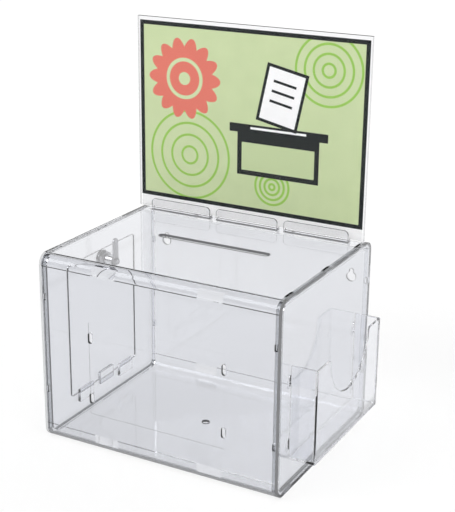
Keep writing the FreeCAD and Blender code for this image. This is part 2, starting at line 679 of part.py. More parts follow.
def make_lock_plug():
    body = lock_disc("lock_plug", "plug_sunk - lock_head_thick", f"{STOP_AT} + lock_head_thick - plug_sunk",
                     "plug_wide", None)
    square = new_sketch(body, "YZ_Plane", STOP_AT, "square")
    rectangle(square, "-plug_square / 2", "-plug_square / 2", "plug_square / 2", "plug_square / 2")
    pad(body, square, "stop_thick + cam_thick - square_gap")
    key = new_sketch(body, "YZ_Plane", "plug_sunk - lock_head_thick + key_deep", "key_slot")
    rectangle(key, "-key_wide / 2", "-key_tall / 2", "key_wide / 2", "key_tall / 2")
    cut(body, key, "key_deep")
    room = new_sketch(body, "YZ_Plane", "wafer_first + wafer_gap", "wafer_slot")
    outline(room, [
        ("-wafer_wide / 2 - wafer_gap", "-plug_wide"),
        ("wafer_wide / 2 + wafer_gap", "-plug_wide"),
        ("wafer_wide / 2 + wafer_gap", "ear_low - spring_long"),
        ("wafer_wide / 2 + ear_wide + wafer_gap", "ear_low - spring_long"),
        ("wafer_wide / 2 + ear_wide + wafer_gap", "plug_wide"),
        ("-wafer_wide / 2 - wafer_gap", "plug_wide"),
    ])
    slot = cut(body, room, "wafer_thick + 2 * wafer_gap")
    repeat(body, slot, room, "N_Axis", f"{WAFERS - 1} * wafer_pitch", WAFERS)
    hole = new_sketch(body, "YZ_Plane", TOOTH_AT, "screw_hole")
    ring(hole, "0", "0", "screw_wide + 2 * screw_gap")
    cut(body, hole, "screw_long")


def make_lock_wafers():
    body = lock_body("lock_wafers")
    sketch = new_sketch(body, "YZ_Plane", "wafer_first - wafer_thick", "wafer")
    edge = "wafer_wide / 2"
    outline(sketch, [
        (f"-{edge}", "-wafer_tall / 2"),
        (edge, "-wafer_tall / 2"),
        (edge, "ear_low"),
        (f"{edge} + ear_wide", "ear_low"),
        (f"{edge} + ear_wide", "ear_low + ear_thick"),
        (edge, "ear_low + ear_thick"),
        (edge, "wafer_tall / 2"),
        (f"-{edge}", "wafer_tall / 2"),
    ])
    rectangle(sketch, "-key_wide / 2 - wafer_gap", "wafer_rim - wafer_tall / 2",
              "key_wide / 2 + wafer_gap", "wafer_tall / 2 - wafer_rim")
    wafer = pad(body, sketch, "wafer_thick")
    repeat(body, wafer, sketch, "N_Axis", f"{WAFERS - 1} * wafer_pitch", WAFERS)


def make_wafer_springs():
    body = lock_body("lock_wafer_springs")
    sketch = new_sketch(body, "XY_Plane", "ear_low - spring_long", "spring")
    ring(sketch, "wafer_first - wafer_thick / 2", "(wafer_wide + ear_wide) / 2", "spring_wide")
    spring = pad(body, sketch, "spring_long")
    repeat(body, spring, sketch, "H_Axis", f"{WAFERS - 1} * wafer_pitch", WAFERS)


def make_stop_washer():
    body = lock_disc("lock_stop_washer", STOP_AT, "stop_thick", "stop_wide", None)
    square_hole(body, STOP_AT, "stop_thick")


def square_hole(body, face, thick):
    """The hole that fits the plug's square end."""
    hole = new_sketch(body, "YZ_Plane", f"{face} + {thick}", "square_hole")
    half = "(plug_square / 2 + square_gap)"
    rectangle(hole, f"-{half}", f"-{half}", half, half)
    cut(body, hole, thick)


def make_lock_cam():
    body = lock_body("lock_cam")
    sketch = new_sketch(body, "YZ_Plane", CAM_AT, "blade")
    upright_slot(sketch, "0", "(cam_reach - cam_wide / 2) / 2", "cam_reach + cam_wide / 2", "cam_wide")
    pad(body, sketch, "cam_thick")
    square_hole(body, CAM_AT, "cam_thick")


def make_cam_screw():
    body = lock_disc("lock_cam_screw", HEAD_AT, "screw_head_tall", "screw_head_wide", None)
    top = f"{HEAD_AT} + screw_head_tall"
    bevel(body, "screw_head_bevel", lambda edge: near(edge.BoundBox.XMin, top))
    shank = new_sketch(body, "YZ_Plane", f"{TOOTH_AT} + screw_gap - screw_long", "shank")
    ring(shank, "0", "0", "screw_wide")
    pad(body, shank, "screw_long - screw_gap + tooth_thick")


# Header: clips, folded sleeve and card

def make_header_clip(name, step):
    body = new_body(name)
    sketch = new_sketch(body, "YZ_Plane", f"{step} * clip_apart - clip_wide / 2", "channel")
    half = f"({CLIP_THICK} / 2)"
    top = "box_tall + clip_tall"
    outline(sketch, [
        (f"{CLIP_BACK} - {half}", "box_tall"),
        (f"{CLIP_BACK} + {half}", "box_tall"),
        (f"{CLIP_BACK} + {half}", top),
        (f"{CLIP_BACK} + {half} - clip_wall", top),
        (f"{CLIP_BACK} + {half} - clip_wall", SLEEVE_FOOT),
        (f"{CLIP_BACK} - {half} + clip_wall", SLEEVE_FOOT),
        (f"{CLIP_BACK} - {half} + clip_wall", top),
        (f"{CLIP_BACK} - {half}", top),
    ])
    pad(body, sketch, "clip_wide")
    soften(body, "clip_round", lambda edge: near(edge.BoundBox.ZMin, top) and near(edge.Length, "clip_wall"))


def make_sign_sleeve():
    body = new_body("sign_sleeve")
    sketch = new_sketch(body, "YZ_Plane", "-card_wide / 2 - sleeve_margin", "fold")
    inner = "(sleeve_slit / 2)"
    outer = "(sleeve_slit / 2 + sleeve_sheet)"
    top = f"{SLEEVE_FOOT} + sleeve_sheet + card_gap + card_tall + sleeve_lip"
    half_wide = "(card_wide / 2 + sleeve_margin)"
    outline(sketch, [
        (f"{CLIP_BACK} - {outer}", SLEEVE_FOOT, "sleeve_fold + sleeve_sheet"),
        (f"{CLIP_BACK} + {outer}", SLEEVE_FOOT, "sleeve_fold + sleeve_sheet"),
        (f"{CLIP_BACK} + {outer}", top),
        (f"{CLIP_BACK} + {inner}", top),
        (f"{CLIP_BACK} + {inner}", f"{SLEEVE_FOOT} + sleeve_sheet", "sleeve_fold"),
        (f"{CLIP_BACK} - {inner}", f"{SLEEVE_FOOT} + sleeve_sheet", "sleeve_fold"),
        (f"{CLIP_BACK} - {inner}", top),
        (f"{CLIP_BACK} - {outer}", top),
    ])
    pad(body, sketch, f"2 * {half_wide}")


def make_sign_insert():
    body = new_body("sign_insert")
    sketch = new_sketch(body, "XZ_Plane", f"-{CLIP_BACK}", "card")
    foot = f"{SLEEVE_FOOT} + sleeve_sheet + card_gap"
    rectangle(sketch, "-card_wide / 2", foot, "card_wide / 2", f"{foot} + card_tall")
    pad(body, sketch, "card_thick", middle=True)


# Brochure pocket: one moulding, open towards the box, that hangs on four hooks

def make_brochure_pocket():
    body = new_body("brochure_pocket")
    back = "box_wide / 2"
    front = "(box_wide / 2 + pocket_deep)"
    near_end = f"(pocket_back - {POCKET_HALF})"
    far_end = f"(pocket_back + {POCKET_HALF})"
    walls = new_sketch(body, "XY_Plane", POCKET_LOW, "walls")
    outline(walls, [
        (back, near_end),
        (front, near_end, "pocket_round"),
        (front, far_end, "pocket_round"),
        (back, far_end),
        (back, f"{far_end} - pocket_wall"),
        (f"{front} - pocket_wall", f"{far_end} - pocket_wall"),
        (f"{front} - pocket_wall", f"{near_end} + pocket_wall"),
        (back, f"{near_end} + pocket_wall"),
    ])
    pad(body, walls, "pocket_tall")
    floor = new_sketch(body, "XY_Plane", POCKET_LOW, "floor")
    outline(floor, [
        (back, near_end),
        (front, near_end, "pocket_round"),
        (front, far_end, "pocket_round"),
        (back, far_end),
    ])
    pad(body, floor, "pocket_wall")
    soften(body, "pocket_foot_round",
           lambda edge: near(edge.BoundBox.ZMax, POCKET_LOW) and not near(edge.BoundBox.XMax, back))
    top = f"({POCKET_LOW} + pocket_tall)"
    notch = new_sketch(body, "YZ_Plane", front, "notch")
    ring(notch, "pocket_back", f"{top} - notch_sunk", "2 * notch_round")
    cut(body, notch, "pocket_wall")
    soften(body, "notch_ear_round",
           lambda edge: near(edge.BoundBox.ZMin, top) and near(edge.Length, "pocket_wall")
           and near(edge.BoundBox.XMax, front) and near(edge.BoundBox.YMax, edge.BoundBox.YMin))
    hooks(body, back)


def hooks(body, back):
    """Two hooks on each end wall: a neck through the panel's slot and a part that hangs behind it."""
    half_wall = f"({HOOK_SIDE} - hook_slot_apart / 2)"
    edge = f"(abs({half_wall}) + pocket_wall / 2)"
    rest = f"(hook_slot_wide / 2 - sqrt(pow(hook_slot_wide / 2; 2) - pow({edge}; 2)) + fit_gap)"
    neck_low = f"(side_slot_low - hook_slot_tall / 2 + {rest})"
    inner_face = f"({INNER_WIDE} - fit_gap)"
    for side, label in (("-", "front"), ("+", "rear")):
        sketch = new_sketch(body, "XZ_Plane", f"-(pocket_back {side} {HOOK_SIDE})", f"{label}_hooks")
        outline(sketch, [
            (f"{back} + pocket_wall", neck_low),
            (f"{back} + pocket_wall", f"{neck_low} + hook_neck_tall"),
            (f"{inner_face} - hook_thick", f"{neck_low} + hook_neck_tall"),
            (f"{inner_face} - hook_thick", f"{neck_low} - hook_drop"),
            (inner_face, f"{neck_low} - hook_drop"),
            (inner_face, neck_low),
        ])
        hook = pad(body, sketch, "pocket_wall", middle=True)
        repeat(body, hook, sketch, "V_Axis", "hook_slot_pitch", 2)


make_lid()
make_base_tray()
make_front_panel()
make_back_panel()
make_left_end_panel()
make_right_end_panel()
for clip_name, clip_step in (("header_clip_left", -1), ("header_clip_centre", 0), ("header_clip_right", 1)):
    make_header_clip(clip_name, clip_step)
make_door()
make_lock_housing()
make_lock_spur_washer()
make_lock_nut()
make_lock_plug()
make_lock_wafers()
make_wafer_springs()
make_stop_washer()
make_lock_cam()
lock_disc("lock_tooth_washer", TOOTH_AT, "tooth_thick", "tooth_wide", "tooth_bore")
make_cam_screw()
make_sign_sleeve()
make_sign_insert()
make_brochure_pocket()

doc.recompute()
for item in doc.Objects:
    if "Invalid" in item.State or "Error" in item.State:
        raise RuntimeError(f"{item.Name} failed: {item.State}")

bodies = [item for item in doc.Objects if item.isDerivedFrom("PartDesign::Body")]
os.makedirs("parts", exist_ok=True)
for body in bodies:
    shape = body.Shape
    if shape.isNull() or not shape.isValid():
        raise RuntimeError(f"{body.Label} has no valid shape")
    print(body.Label, len(shape.Solids), round(shape.Volume, 1))
    shape.exportStep(f"parts/{body.Label}.step")
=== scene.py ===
# %% [markdown]
# A clear plastic ballot box, dressed for its portrait.
# The CAD model gives every solid at its real size. This script gives the plastic its polish and its soft
# moulded edges, the lock its metals and the card its print, and sets the box on a pale studio floor.

# %% Load the imported model
import json
import math

import bpy
from mathutils import Matrix, Vector

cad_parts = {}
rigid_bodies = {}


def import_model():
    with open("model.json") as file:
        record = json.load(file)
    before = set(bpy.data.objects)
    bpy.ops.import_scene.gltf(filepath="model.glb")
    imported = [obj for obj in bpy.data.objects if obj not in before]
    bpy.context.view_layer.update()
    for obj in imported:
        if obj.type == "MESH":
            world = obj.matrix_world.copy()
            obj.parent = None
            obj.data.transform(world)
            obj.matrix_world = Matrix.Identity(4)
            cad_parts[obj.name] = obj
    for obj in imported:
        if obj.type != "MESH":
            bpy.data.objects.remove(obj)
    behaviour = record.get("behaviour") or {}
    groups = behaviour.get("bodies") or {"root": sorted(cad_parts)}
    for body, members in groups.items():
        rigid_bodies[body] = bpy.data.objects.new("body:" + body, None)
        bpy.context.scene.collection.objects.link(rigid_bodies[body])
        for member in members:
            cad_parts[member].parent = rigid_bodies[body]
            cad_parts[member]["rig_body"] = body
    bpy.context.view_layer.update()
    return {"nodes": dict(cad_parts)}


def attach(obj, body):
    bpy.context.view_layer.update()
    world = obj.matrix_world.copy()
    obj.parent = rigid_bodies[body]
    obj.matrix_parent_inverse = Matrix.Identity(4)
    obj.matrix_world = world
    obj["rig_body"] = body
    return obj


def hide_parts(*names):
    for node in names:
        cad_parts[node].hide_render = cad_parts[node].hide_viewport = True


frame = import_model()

MM = 0.001

# %% [markdown]
# A product photograph is easiest to match from the photographer's own place. The camera's turn, rise and
# distance were found by fitting the edges of the box, so straight edges of the render fall on those of
# the photo. The lens follows from the focal length in pixels and the height of the picture.

# %% Place the camera
PHOTO_TALL = 512
FOCAL_PIXELS = 1219.8
CAMERA_PLACE = Vector((0.6072, -1.0796, 0.6335))
CAMERA_TURN = math.radians(28.416)
CAMERA_RISE = math.radians(19.176)
CAMERA_ROLL = math.radians(0.598)


def camera_axes(turn, rise, roll):
    """The camera's own right, up and back directions."""
    back = Vector((math.sin(turn) * math.cos(rise), -math.cos(turn) * math.cos(rise), math.sin(rise)))
    right = Vector((math.cos(turn), math.sin(turn), 0))
    up = back.cross(right)
    c, s = math.cos(roll), math.sin(roll)
    return c * right + s * up, c * up - s * right, back


bpy.ops.object.camera_add()
camera = bpy.context.object
camera.name = "studio_camera"
camera.data.sensor_width = 36
camera.data.lens = FOCAL_PIXELS / PHOTO_TALL * camera.data.sensor_width
axes = camera_axes(CAMERA_TURN, CAMERA_RISE, CAMERA_ROLL)
camera.matrix_world = Matrix.Translation(CAMERA_PLACE) @ Matrix(axes).transposed().to_4x4()
bpy.context.scene.camera = camera
print(f"camera lens {camera.data.lens:.1f} mm at {tuple(round(c, 3) for c in camera.location)}")

# %% [markdown]
# Materials in Blender are trees of nodes. Each node could be placed and wired by hand in the editor. In a
# script a few small helpers keep that short: one adds a node with its settings, one does arithmetic on
# two sockets, and one starts an empty material.

# %% Build node trees with less typing
def add_node(tree, kind, **settings):
    """A node of one kind, with its properties set, and its inputs set where a name is an input's."""
    node = tree.nodes.new(kind)
    sockets = {socket.name.lower().replace(" ", "_"): socket for socket in reversed(node.inputs)}
    for name, number in settings.items():
        if name in sockets:
            sockets[name].default_value = number
        else:
            setattr(node, name, number)
    return node


def wire(tree, source, target):
    tree.links.new(source, target)


def arithmetic(tree, operation, a, b=None, c=None, clamp=False):
    """A Math node on up to three inputs, each a number or a socket."""
    node = add_node(tree, "ShaderNodeMath", operation=operation, use_clamp=clamp)
    for index, item in enumerate((a, b, c)):
        if isinstance(item, (int, float)):
            node.inputs[index].default_value = item
        elif item is not None:
            wire(tree, item, node.inputs[index])
    return node.outputs[0]


def ramp(tree, source, low, high, at_low, at_high):
    """Turns low..high of a socket smoothly into at_low..at_high."""
    node = add_node(tree, "ShaderNodeMapRange", interpolation_type="SMOOTHSTEP",
                    from_min=low, from_max=high, to_min=at_low, to_max=at_high)
    wire(tree, source, node.inputs["Value"])
    return node.outputs["Result"]


def mix_numbers(tree, factor, a, b):
    node = add_node(tree, "ShaderNodeMix", data_type="FLOAT")
    for socket, item in (("Factor", factor), ("A", a), ("B", b)):
        if isinstance(item, (int, float)):
            node.inputs[socket].default_value = item
        else:
            wire(tree, item, node.inputs[socket])
    return node.outputs[0]


def mix_colours(tree, factor, a, b):
    """A Mix node for colours. Each colour is a triple or a socket."""
    node = add_node(tree, "ShaderNodeMix", data_type="RGBA")
    wire(tree, factor, node.inputs[0])
    for socket, item in ((node.inputs[6], a), (node.inputs[7], b)):
        if isinstance(item, tuple):
            socket.default_value = (*item, 1)
        else:
            wire(tree, item, socket)
    return node.outputs[2]


def seen_directly(tree):
    """One for what the camera sees, straight or by way of glass and polish, and zero for lighting."""
    path = add_node(tree, "ShaderNodeLightPath")
    straight = arithmetic(tree, "MAXIMUM", path.outputs["Is Camera Ray"], path.outputs["Is Glossy Ray"])
    return arithmetic(tree, "MAXIMUM", straight, path.outputs["Is Transmission Ray"])


def empty_material(name):
    material = bpy.data.materials.new(name)
    material.use_nodes = True
    material.node_tree.nodes.clear()
    return material, material.node_tree


def surface(tree, shader):
    out = add_node(tree, "ShaderNodeOutputMaterial")
    wire(tree, shader, out.inputs["Surface"])
    return out


print("node helpers ready")

# %% [markdown]
# Clear plastic shows little of its own: it shows what stands round it. The photo was taken against pure
# white, with a dimmer room in front and above, and that dim room is what the edges pick up as dark lines.
# A picture of a studio could light it, but plain tones in the world do the same and move with no camera:
# straight sight sees white, and rays bent by glass or polish see a dim ceiling.

# %% Light the room
WORLD_LIGHT = 0.55
CEILING_TONE = 0.10
DARK_FROM, DARK_AT = 0.06, 0.34
BACK_LEAN = -0.35
world = bpy.data.worlds.new("pale_studio")
bpy.context.scene.world = world
world.use_nodes = True
room = world.node_tree
room.nodes.clear()
toward = add_node(room, "ShaderNodeTexCoord")
split = add_node(room, "ShaderNodeSeparateXYZ")
wire(room, toward.outputs["Generated"], split.inputs[0])
leaning = arithmetic(room, "MULTIPLY_ADD", split.outputs["Y"], BACK_LEAN, split.outputs["Z"])
dim_up = ramp(room, leaning, DARK_FROM, DARK_AT, 1.0, CEILING_TONE)
path = add_node(room, "ShaderNodeLightPath")
bent = arithmetic(room, "MAXIMUM", path.outputs["Is Glossy Ray"], path.outputs["Is Transmission Ray"])
sight = mix_numbers(room, bent, 1.0, dim_up)
backdrop = add_node(room, "ShaderNodeBackground")
wire(room, mix_numbers(room, seen_directly(room), WORLD_LIGHT, sight), backdrop.inputs["Strength"])
backdrop.inputs["Color"].default_value = (1, 1, 1, 1)
room_out = add_node(room, "ShaderNodeOutputWorld")
wire(room, backdrop.outputs[0], room_out.inputs["Surface"])
print("world: white behind, dim above")

# %% [markdown]
# The floor is one large pale plane, so that it has no horizon in view. A matt surface alone would render
# grey under soft lamps, so most of what the camera sees of it is its own white, and the rest is matt and
# keeps the soft shadow under the box. A thin strip along the foot of the front and of the right end is
# painted dark to rays that come by way of the plastic: a painted contact shadow under the rolled lower edge.

# %% Lay the floor
FLOOR_HALF = 30
FLOOR_DROP = 0.0002
FLOOR_GLOW = 0.66
FLOOR_WHITE = 1.04
NEAR_REACH, FAR_REACH, FAR_TONE = 3.0, 6.0, 0.35
BOX_WIDE, BOX_DEEP = 0.285, 0.222
CONTACT_REACH, PAINTED_CONTACT_SHADE = (0.003, 0.013), 0.28
bpy.ops.mesh.primitive_plane_add(size=2 * FLOOR_HALF, location=(0, 0, -FLOOR_DROP))
floor = bpy.context.object
floor.name = "studio_floor"
pale, tree = empty_material("pale_floor")
matt = add_node(tree, "ShaderNodeBsdfDiffuse", color=(0.92, 0.92, 0.92, 1))
glow = add_node(tree, "ShaderNodeEmission")
spot = add_node(tree, "ShaderNodeTexCoord")
reach = add_node(tree, "ShaderNodeVectorMath", operation="LENGTH")
wire(tree, spot.outputs["Object"], reach.inputs[0])
fade = ramp(tree, reach.outputs["Value"], NEAR_REACH, FAR_REACH, 1.0, FAR_TONE)
split = add_node(tree, "ShaderNodeSeparateXYZ")
wire(tree, spot.outputs["Object"], split.inputs[0])
past_end = arithmetic(tree, "SUBTRACT", split.outputs["X"], BOX_WIDE / 2)
past_front = arithmetic(tree, "SUBTRACT", -BOX_DEEP / 2, split.outputs["Y"])
from_foot = arithmetic(tree, "ABSOLUTE", arithmetic(tree, "MAXIMUM", past_end, past_front))
# A painted contact shadow: the floor's glow drops along the foot of the front and of the right end.
contact = ramp(tree, from_foot, *CONTACT_REACH, PAINTED_CONTACT_SHADE, 1.0)
path = add_node(tree, "ShaderNodeLightPath")
bent_tone = arithmetic(tree, "MULTIPLY", fade, contact)
wire(tree, mix_numbers(tree, path.outputs["Is Camera Ray"], bent_tone, FLOOR_WHITE), glow.inputs["Strength"])
blend = add_node(tree, "ShaderNodeMixShader")
own_white = ramp(tree, reach.outputs["Value"], 0.35, 0.9, FLOOR_GLOW, 1.0)
wire(tree, arithmetic(tree, "MULTIPLY", seen_directly(tree), own_white), blend.inputs[0])
wire(tree, matt.outputs[0], blend.inputs[1])
wire(tree, glow.outputs[0], blend.inputs[2])
surface(tree, blend.outputs[0])
floor.data.materials.append(pale)
print("floor laid")

# %% [markdown]
# Three large soft lamps light the card, the metals and the floor. Their own square reflections would
# show on the polished lid, where the photo has none, so they are hidden from glossy rays.

# %% Hang the lamps
def soft_lamp(name, place, aim, size, power):
    """A square area lamp at a place, turned to face a point."""
    bpy.ops.object.light_add(type="AREA", location=place)
    lamp = bpy.context.object
    lamp.name = name
    lamp.data.size = size
    lamp.data.energy = power
    lamp.rotation_euler = (Vector(aim) - Vector(place)).to_track_quat("-Z", "Y").to_euler()
    lamp.visible_glossy = False


soft_lamp("key_lamp", (-1.3, -1.6, 2.0), (0, 0, 0.15), 1.6, 34)
soft_lamp("fill_lamp", (1.9, -0.9, 1.5), (0, 0, 0.15), 1.4, 16)
soft_lamp("back_lamp", (0.2, 1.9, 1.9), (0, 0, 0.1), 1.4, 14)
print("three soft lamps")

# %% [markdown]
# Two effects come back in several materials, so each is a node group with named sockets.
# Moulded sheet is never quite flat: it has a slow ripple from the mould, and a faint haze where hands
# and cloths have rubbed it. Metal parts have fine brushed lines and some dull patches.

# %% Effects that several materials share
def new_group(name, inputs, outputs):
    """An empty node group. Sockets are (name, kind, default)."""
    group = bpy.data.node_groups.new(name, "ShaderNodeTree")
    for label, kind, default in inputs:
        group.interface.new_socket(label, in_out="INPUT", socket_type=kind).default_value = default
    for label, kind in outputs:
        group.interface.new_socket(label, in_out="OUTPUT", socket_type=kind)
    return group, group.nodes.new("NodeGroupInput"), group.nodes.new("NodeGroupOutput")


def use_group(tree, group, **numbers):
    node = tree.nodes.new("ShaderNodeGroup")
    node.node_tree = group
    for name, number in numbers.items():
        node.inputs[name.replace("_", " ").capitalize()].default_value = number
    return node


moulding_marks, given, gives = new_group(
    "moulding_marks",
    [("Ripple size", "NodeSocketFloat", 25.0), ("Haze", "NodeSocketFloat", 0.03)],
    [("Height", "NodeSocketFloat"), ("Roughness", "NodeSocketFloat")])
place = add_node(moulding_marks, "ShaderNodeTexCoord")
slow = add_node(moulding_marks, "ShaderNodeTexNoise", detail=1.0)
wire(moulding_marks, place.outputs["Object"], slow.inputs["Vector"])
wire(moulding_marks, given.outputs["Ripple size"], slow.inputs["Scale"])
wire(moulding_marks, slow.outputs[0], gives.inputs["Height"])
rub = add_node(moulding_marks, "ShaderNodeTexNoise", scale=14.0, detail=3.0)
wire(moulding_marks, place.outputs["Object"], rub.inputs["Vector"])
rubbed = ramp(moulding_marks, rub.outputs[0], 0.55, 0.8, 0.0, 1.0)
wire(moulding_marks, arithmetic(moulding_marks, "MULTIPLY", rubbed, given.outputs["Haze"]),
     gives.inputs["Roughness"])

brushed_marks, given, gives = new_group(
    "brushed_marks",
    [("Lines", "NodeSocketFloat", 900.0), ("Polish", "NodeSocketFloat", 0.2),
     ("Dullness", "NodeSocketFloat", 0.2)],
    [("Height", "NodeSocketFloat"), ("Roughness", "NodeSocketFloat")])
place = add_node(brushed_marks, "ShaderNodeTexCoord")
stretch = add_node(brushed_marks, "ShaderNodeMapping")
stretch.inputs["Scale"].default_value = (0.08, 1, 1)
wire(brushed_marks, place.outputs["Object"], stretch.inputs["Vector"])
lines = add_node(brushed_marks, "ShaderNodeTexNoise", detail=2.0)
wire(brushed_marks, stretch.outputs[0], lines.inputs["Vector"])
wire(brushed_marks, given.outputs["Lines"], lines.inputs["Scale"])
wire(brushed_marks, lines.outputs[0], gives.inputs["Height"])
dull = add_node(brushed_marks, "ShaderNodeTexNoise", scale=160.0, detail=3.0)
wire(brushed_marks, place.outputs["Object"], dull.inputs["Vector"])
spread = arithmetic(brushed_marks, "MULTIPLY_ADD", dull.outputs[0], given.outputs["Dullness"],
                    given.outputs["Polish"])
wire(brushed_marks, spread, gives.inputs["Roughness"])
print("groups:", moulding_marks.name, brushed_marks.name)

# %% [markdown]
# Each clear piece is one sheet of polished plastic. Glass in Blender can be a Glass shader, but the
# Principled shader with full transmission carries a tint as well, so each panel dims what lies behind it
# a little, as the real sheet does. Light from the lamps would be stopped by refraction and leave a black
# shadow, so shadow rays pass straight through with a light shade. The tint sits on the surfaces and not
# in a volume, because a volume only ends at a face of the same material, and these pieces wear several.

# %% Clear plastic
def clear_plastic(name, tint, shade, ripple=0.02, haze=0.03, index=1.5, fade=None):
    """Polished clear plastic. Fade is (axis, from, to, tint at the end): a tint that changes along an axis."""
    material, tree = empty_material(name)
    plastic = add_node(tree, "ShaderNodeBsdfPrincipled", ior=index)
    plastic.inputs["Base Color"].default_value = (*tint, 1)
    plastic.inputs["Transmission Weight"].default_value = 1
    marks = use_group(tree, moulding_marks, haze=haze)
    wire(tree, marks.outputs["Roughness"], plastic.inputs["Roughness"])
    bump = add_node(tree, "ShaderNodeBump", strength=ripple, distance=0.001)
    wire(tree, marks.outputs["Height"], bump.inputs["Height"])
    wire(tree, bump.outputs[0], plastic.inputs["Normal"])
    if fade:
        axis, start, end, end_tint = fade
        place = add_node(tree, "ShaderNodeTexCoord")
        split = add_node(tree, "ShaderNodeSeparateXYZ")
        wire(tree, place.outputs["Object"], split.inputs[0])
        along = ramp(tree, split.outputs[axis], start, end, 0.0, 1.0)
        wire(tree, mix_colours(tree, along, tint, end_tint), plastic.inputs["Base Color"])
    passed = add_node(tree, "ShaderNodeBsdfTransparent", color=(shade, shade, shade, 1))
    path = add_node(tree, "ShaderNodeLightPath")
    blend = add_node(tree, "ShaderNodeMixShader")
    wire(tree, path.outputs["Is Shadow Ray"], blend.inputs[0])
    wire(tree, plastic.outputs[0], blend.inputs[1])
    wire(tree, passed.outputs[0], blend.inputs[2])
    surface(tree, blend.outputs[0])
    return material


PANEL_TINT = (0.855, 0.863, 0.888)
panel_plastic = clear_plastic("clear_panel_plastic", PANEL_TINT, 0.92)
lid_plastic = clear_plastic("clear_lid_plastic", (0.955, 0.959, 0.973), 0.92)
clip_plastic = clear_plastic("clear_clip_plastic", (0.99, 0.99, 0.995), 0.97, index=1.3)
pocket_plastic = clear_plastic("clear_pocket_plastic", (0.945, 0.95, 0.97), 0.94)
sheet_plastic = clear_plastic("clear_sheet_plastic", (0.985, 0.985, 0.99), 0.97, haze=0.0, index=1.18)
print("plastics for panels, lid, clips, pocket and sleeve")

# %% [markdown]
# The rounded edges of a clear moulding look dark, because they bend the sight to the dim room. The real
# effect is stronger than one small radius gives at this size, so the edge faces get a near-black tint of
# their own, which is painted shade. The thick cut edges of the end panels get a lighter painted shade, and
# the rims inside the ends a lighter one again. The lower front bend of the base tray darkens towards the
# floor: painted shade at its foot. The slot in the lid is milled, and a milled wall is frosted; the even
# grey it is given is painted shade.

# %% Plastic of the edges and the milled slot, in painted shade
edge_painted_shade = clear_plastic("clear_edge_plastic", (0.05, 0.053, 0.057), 0.9)
end_edge_painted_shade = clear_plastic("clear_end_edge_plastic", (0.16, 0.165, 0.172), 0.9)
rim_painted_shade = clear_plastic("clear_rim_plastic", (0.33, 0.34, 0.35), 0.9)
bend_with_painted_foot_shade = clear_plastic("clear_bend_plastic", PANEL_TINT, 0.92,
                             fade=("Z", 0.0075, 0.001, (0.32, 0.33, 0.345)))


def faint_plastic(name, least, most):
    """A face that shows next to nothing, with a film between two strengths that is thicker in patches."""
    material, tree = empty_material(name)
    film = add_node(tree, "ShaderNodeBsdfPrincipled", base_color=(0.62, 0.63, 0.65, 1), roughness=0.1)
    place = add_node(tree, "ShaderNodeTexCoord")
    patches = add_node(tree, "ShaderNodeTexNoise", scale=60.0)
    wire(tree, place.outputs["Object"], patches.inputs["Vector"])
    wire(tree, ramp(tree, patches.outputs[0], 0.4, 0.7, least, most), film.inputs["Alpha"])
    surface(tree, film.outputs[0])
    return material


tongue_plastic = faint_plastic("faint_touching_faces", 0.005, 0.03)
# On the pocket's edge faces the grey film is thicker: painted shade.
pocket_edge_painted_shade = faint_plastic("faint_pocket_edges", 0.25, 0.45)


def cut_plastic(name, dark, light):
    """Frosted walls with fine cutter marks, between two tones."""
    material, tree = empty_material(name)
    matt = add_node(tree, "ShaderNodeBsdfPrincipled", ior=1.5)
    place = add_node(tree, "ShaderNodeTexCoord")
    marks = add_node(tree, "ShaderNodeTexNoise", scale=700.0, detail=2.0)
    wire(tree, place.outputs["Object"], marks.inputs["Vector"])
    tone = mix_colours(tree, marks.outputs[0], dark, light)
    wire(tree, tone, matt.inputs["Base Color"])
    wire(tree, ramp(tree, marks.outputs[0], 0.3, 0.7, 0.45, 0.65), matt.inputs["Roughness"])
    surface(tree, matt.outputs[0])
    return material


# These tones are painted: the grey and the near black are painted shade on frosted and cut walls, and the pale one is
# painted light on cut walls that face the lamps.
frosted_painted_shade = cut_plastic("milled_plastic", (0.15, 0.152, 0.158), (0.25, 0.252, 0.26))
dark_painted_shade = cut_plastic("dark_cut_plastic", (0.02, 0.021, 0.022), (0.05, 0.051, 0.053))
pale_painted_light = cut_plastic("pale_cut_plastic", (0.55, 0.555, 0.565), (0.70, 0.705, 0.715))
print("edge plastics and the milled finish")

# %% [markdown]
# A CAD solid arrives as loose triangles with knife-sharp edges. The copy of each clear piece has its
# doubles merged, so that the faces are whole again, and shrinks by a few hundredths of a millimetre, so
# that two touching sheets keep a film of air between them, which is what shows a seam. A Bevel modifier
# rounds its edges, and Weighted Normal keeps the large faces flat, so that reflections on them stay straight.

# %% Round the moulded edges
AIR_FILM = 0.04 * MM
SHARP = math.radians(40)


def only(piece):
    """Selects one object and nothing else."""
    bpy.ops.object.select_all(action="DESELECT")
    piece.select_set(True)
    bpy.context.view_layer.objects.active = piece


def cut_across(places):
    """Cuts the faces of the object in edit mode at places along its width."""
    for place in places:
        bpy.ops.mesh.select_all(action="SELECT")
        bpy.ops.mesh.bisect(plane_co=(place * MM, 0, 0), plane_no=(1, 0, 0))


def loose_copy(node, cuts=()):
    """A copy of a CAD node's mesh, welded and cleaned, as a piece of its own."""
    cad = frame["nodes"][node]
    piece = cad.copy()
    piece.data = cad.data.copy()
    piece.name = f"{node}_moulding"
    piece.parent = None
    for key in list(piece.keys()):
        del piece[key]
    bpy.context.scene.collection.objects.link(piece)
    only(piece)
    bpy.ops.object.mode_set(mode="EDIT")
    bpy.ops.mesh.select_all(action="SELECT")
    bpy.ops.mesh.remove_doubles(threshold=0.01 * MM)
    bpy.ops.mesh.dissolve_limited(angle_limit=math.radians(0.5))
    bpy.ops.transform.shrink_fatten(value=-AIR_FILM)
    cut_across(cuts)
    bpy.ops.object.mode_set(mode="OBJECT")
    return piece


